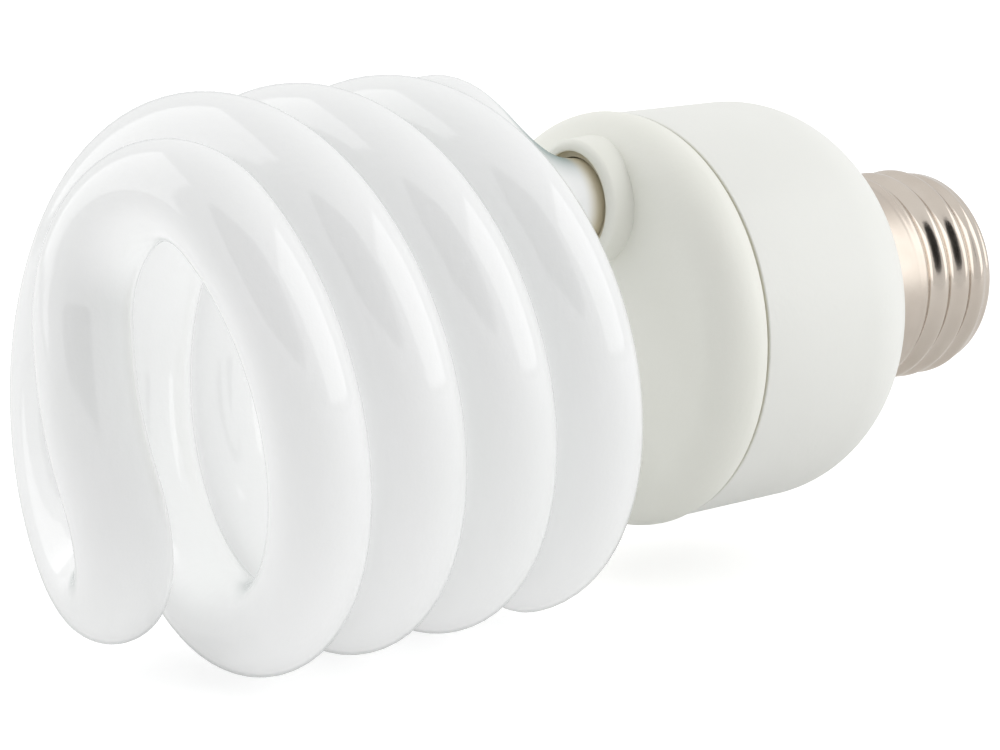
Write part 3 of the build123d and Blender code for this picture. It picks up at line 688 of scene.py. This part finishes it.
# hidden pieces keep their CAD shape and get their own finishes:
# name, two colours, roughness, scale of the grain, how metallic
inside = {
    "cement": ("whiteCement", (0.62, 0.58, 0.48), (0.50, 0.46, 0.36), (0.7, 0.9), 300.0, 0),
    "board_laminate": ("tanLaminate", (0.36, 0.22, 0.09), (0.30, 0.17, 0.06), (0.5, 0.7), 250.0, 0),
    "ferrite": ("greyFerrite", (0.035, 0.035, 0.04), (0.06, 0.06, 0.065), (0.5, 0.8), 500.0, 0),
    "copper_wire": ("enamelCopper", (0.62, 0.20, 0.07), (0.50, 0.15, 0.05), (0.25, 0.4), 700.0, 0.9),
    "bobbin_plastic": ("bobbinPlastic", (0.03, 0.03, 0.03), (0.05, 0.05, 0.05), (0.4, 0.6), 400.0, 0),
    "capacitor_sleeve": ("capacitorSleeve", (0.02, 0.03, 0.09), (0.03, 0.04, 0.12), (0.2, 0.35), 300.0, 0),
    "film_dip": ("redDip", (0.32, 0.05, 0.02), (0.25, 0.04, 0.015), (0.15, 0.3), 300.0, 0),
    "moulded_black": ("mouldedBlack", (0.02, 0.02, 0.02), (0.035, 0.035, 0.035), (0.45, 0.65), 500.0, 0),
    "resistor_coat": ("blueCoat", (0.25, 0.36, 0.42), (0.20, 0.30, 0.36), (0.3, 0.5), 500.0, 0),
    "diac_glass": ("blueGlass", (0.10, 0.20, 0.32), (0.08, 0.16, 0.26), (0.05, 0.15), 400.0, 0),
    "sleeve_fibre": ("wovenSleeve", (0.60, 0.57, 0.45), (0.50, 0.47, 0.36), (0.7, 0.9), 900.0, 0),
    "wire_cover": ("wireCover", (0.70, 0.70, 0.70), (0.62, 0.62, 0.62), (0.35, 0.5), 400.0, 0),
    "tinned_steel": ("tinnedSteel", (0.55, 0.54, 0.52), (0.45, 0.44, 0.42), (0.25, 0.4), 600.0, 1),
}
insideMaterials = {}
for slotName, (name, colour, secondColour, roughness, grainScale, metallic) in inside.items():
    look = {
        "colour": colour, "secondColour": secondColour, "blotchScale": 200.0, "roughness": roughness,
        "grainScale": grainScale, "bumpStrength": 0.3, "bumpDepth": 0.00005, "fixed": {"Metallic": metallic},
    }
    insideMaterials[slotName] = surfaceMaterial(name, look)
for part in frame["record"]["subparts"]:
    if part["material_slot"] in insideMaterials:
        node = frame["nodes"][part["node"]]
        node.data.materials.clear()
        node.data.materials.append(insideMaterials[part["material_slot"]])
print("inner pieces dressed:", len(insideMaterials), "materials")


# plain matt material of the things that stand round the lamp
def stageMaterial(name, colour, roughness):
    material = bpy.data.materials.new(name)
    material.use_nodes = True
    shader = openMaterial(material)[1]
    shader.inputs["Base Color"].default_value = (*colour, 1)
    shader.inputs["Roughness"].default_value = roughness
    shader.inputs["Specular IOR Level"].default_value = 0.0
    return material


def stagePiece(mesh, name, material):
    data = bpy.data.meshes.new(name)
    mesh.to_mesh(data)
    mesh.free()
    data.materials.append(material)
    piece = bpy.data.objects.new(name, data)
    bpy.context.scene.collection.objects.link(piece)
    return piece


def cameraRay(tree):
    return addNode(tree, "ShaderNodeLightPath").outputs["Is Camera Ray"]


# floor: pale and plain, white to the camera where no shadow falls
floor = {"size": 3.0, "colour": (0.86, 0.86, 0.86), "roughness": 0.9, "cameraGlow": 0.39}
floorMaterial = stageMaterial("paleFloor", floor["colour"], floor["roughness"])
tree, shader = openMaterial(floorMaterial)
shader.inputs["Emission Color"].default_value = (1, 1, 1, 1)
glow = calculate(tree, "MULTIPLY", cameraRay(tree), floor["cameraGlow"])
tree.links.new(glow, shader.inputs["Emission Strength"])
mesh = bmesh.new()
bmesh.ops.create_grid(mesh, x_segments=1, y_segments=1, size=floor["size"])
stagePiece(mesh, "floor", floorMaterial)

# world: soft white all round, a little brighter overhead, and plain white to the camera
room = {"sides": 0.85, "overhead": 1.0, "toCamera": 1.0}
world = bpy.data.worlds.new("studio")
bpy.context.scene.world = world
world.use_nodes = True
tree = world.node_tree
background = tree.nodes["Background"]
background.inputs["Color"].default_value = (1, 1, 1, 1)
upwards = oneAxis(tree, addNode(tree, "ShaderNodeTexCoord").outputs["Generated"], "Z")
ceiling = spreadValue(tree, upwards, (0, 1), (room["sides"], room["overhead"]))
strength = spreadValue(tree, cameraRay(tree), (0, 1), (ceiling, room["toCamera"]))
tree.links.new(strength, background.inputs["Strength"])

# from the middle of the frame towards the side that is seen
seenSide = Vector((-0.594, -0.771, 0))


# a place round the lamp: the bearing goes to the right from the side that is seen
def bearingPoint(bearing, distance, height):
    return Matrix.Rotation(radians(bearing), 3, "Z") @ seenSide * distance + Vector((0, 0, height))


# soft boxes stand at both sides of the lamp, the brighter one on the right
softBoxes = {
    "rightBox": {"bearing": 78, "distance": 0.9, "height": 0.50, "size": (1.05, 1.0), "watts": 3.5},
    "leftBox": {"bearing": -100, "distance": 0.9, "height": 0.50, "size": (0.9, 1.0), "watts": 2.7},
}
for name, softBox in softBoxes.items():
    light = bpy.data.lights.new(name, "AREA")
    light.shape = "RECTANGLE"
    light.size, light.size_y = softBox["size"]
    light.energy = softBox["watts"]
    lightObject = bpy.data.objects.new(name, light)
    lightObject.location = bearingPoint(softBox["bearing"], softBox["distance"], softBox["height"])
    lightObject.rotation_euler = (-lightObject.location).to_track_quat("-Z", "Y").to_euler()
    bpy.context.scene.collection.objects.link(lightObject)

# cards behind the viewpoint: the grey one draws the bands down the glossy turns,
# the black one those in the thread
cards = {
    "greyCard": {
        "bearing": -10, "distance": 0.62, "height": 0.54,
        "size": (0.86, 0.80), "corner": 0.24, "colour": (0.13, 0.13, 0.13),
    },
    "blackCard": {
        "bearing": -2, "distance": 0.60, "height": 0.56,
        "size": (0.38, 0.80), "corner": 0.12, "colour": (0.015, 0.015, 0.015),
    },
}
for name, card in cards.items():
    mesh = bmesh.new()
    bmesh.ops.create_grid(mesh, x_segments=1, y_segments=1, size=0.5)
    bmesh.ops.scale(mesh, verts=mesh.verts[:], vec=(*card["size"], 1))
    bmesh.ops.bevel(
        mesh, geom=mesh.verts[:], offset=card["corner"], segments=8, profile=0.5, affect="VERTICES",
    )
    bmesh.ops.rotate(mesh, verts=mesh.verts[:], cent=(0, 0, 0), matrix=Matrix.Rotation(pi / 2, 3, "X"))
    cardObject = stagePiece(mesh, name, stageMaterial(name + "Cloth", card["colour"], 1.0))
    cardObject.location = bearingPoint(card["bearing"], card["distance"], card["height"])
    cardObject.rotation_euler = (0, 0, cardObject.location.to_2d().angle_signed(Vector((0, -1))))
    cardObject.visible_camera = False
print("floor, world,", len(cards), "cards and", len(softBoxes), "soft boxes placed")

# camera: level, looking a little down on the lamp from beside the glass
view = {
    "place": (-0.18603, -0.23129, 0.09600),
    "ahead": (0.59406, 0.77060, -0.23090),
    "lens": 95.054,
    "sensor": 36.0,
    "nearEnd": 0.01,
}
cameraData = bpy.data.cameras.new("camera")
cameraData.sensor_width = view["sensor"]
cameraData.lens = view["lens"]
cameraData.clip_start = view["nearEnd"]
camera = bpy.data.objects.new("camera", cameraData)
camera.location = view["place"]
camera.rotation_euler = Vector(view["ahead"]).to_track_quat("-Z", "Y").to_euler()
bpy.context.scene.collection.objects.link(camera)
bpy.context.scene.camera = camera
bpy.context.scene.view_settings.view_transform = "Standard"
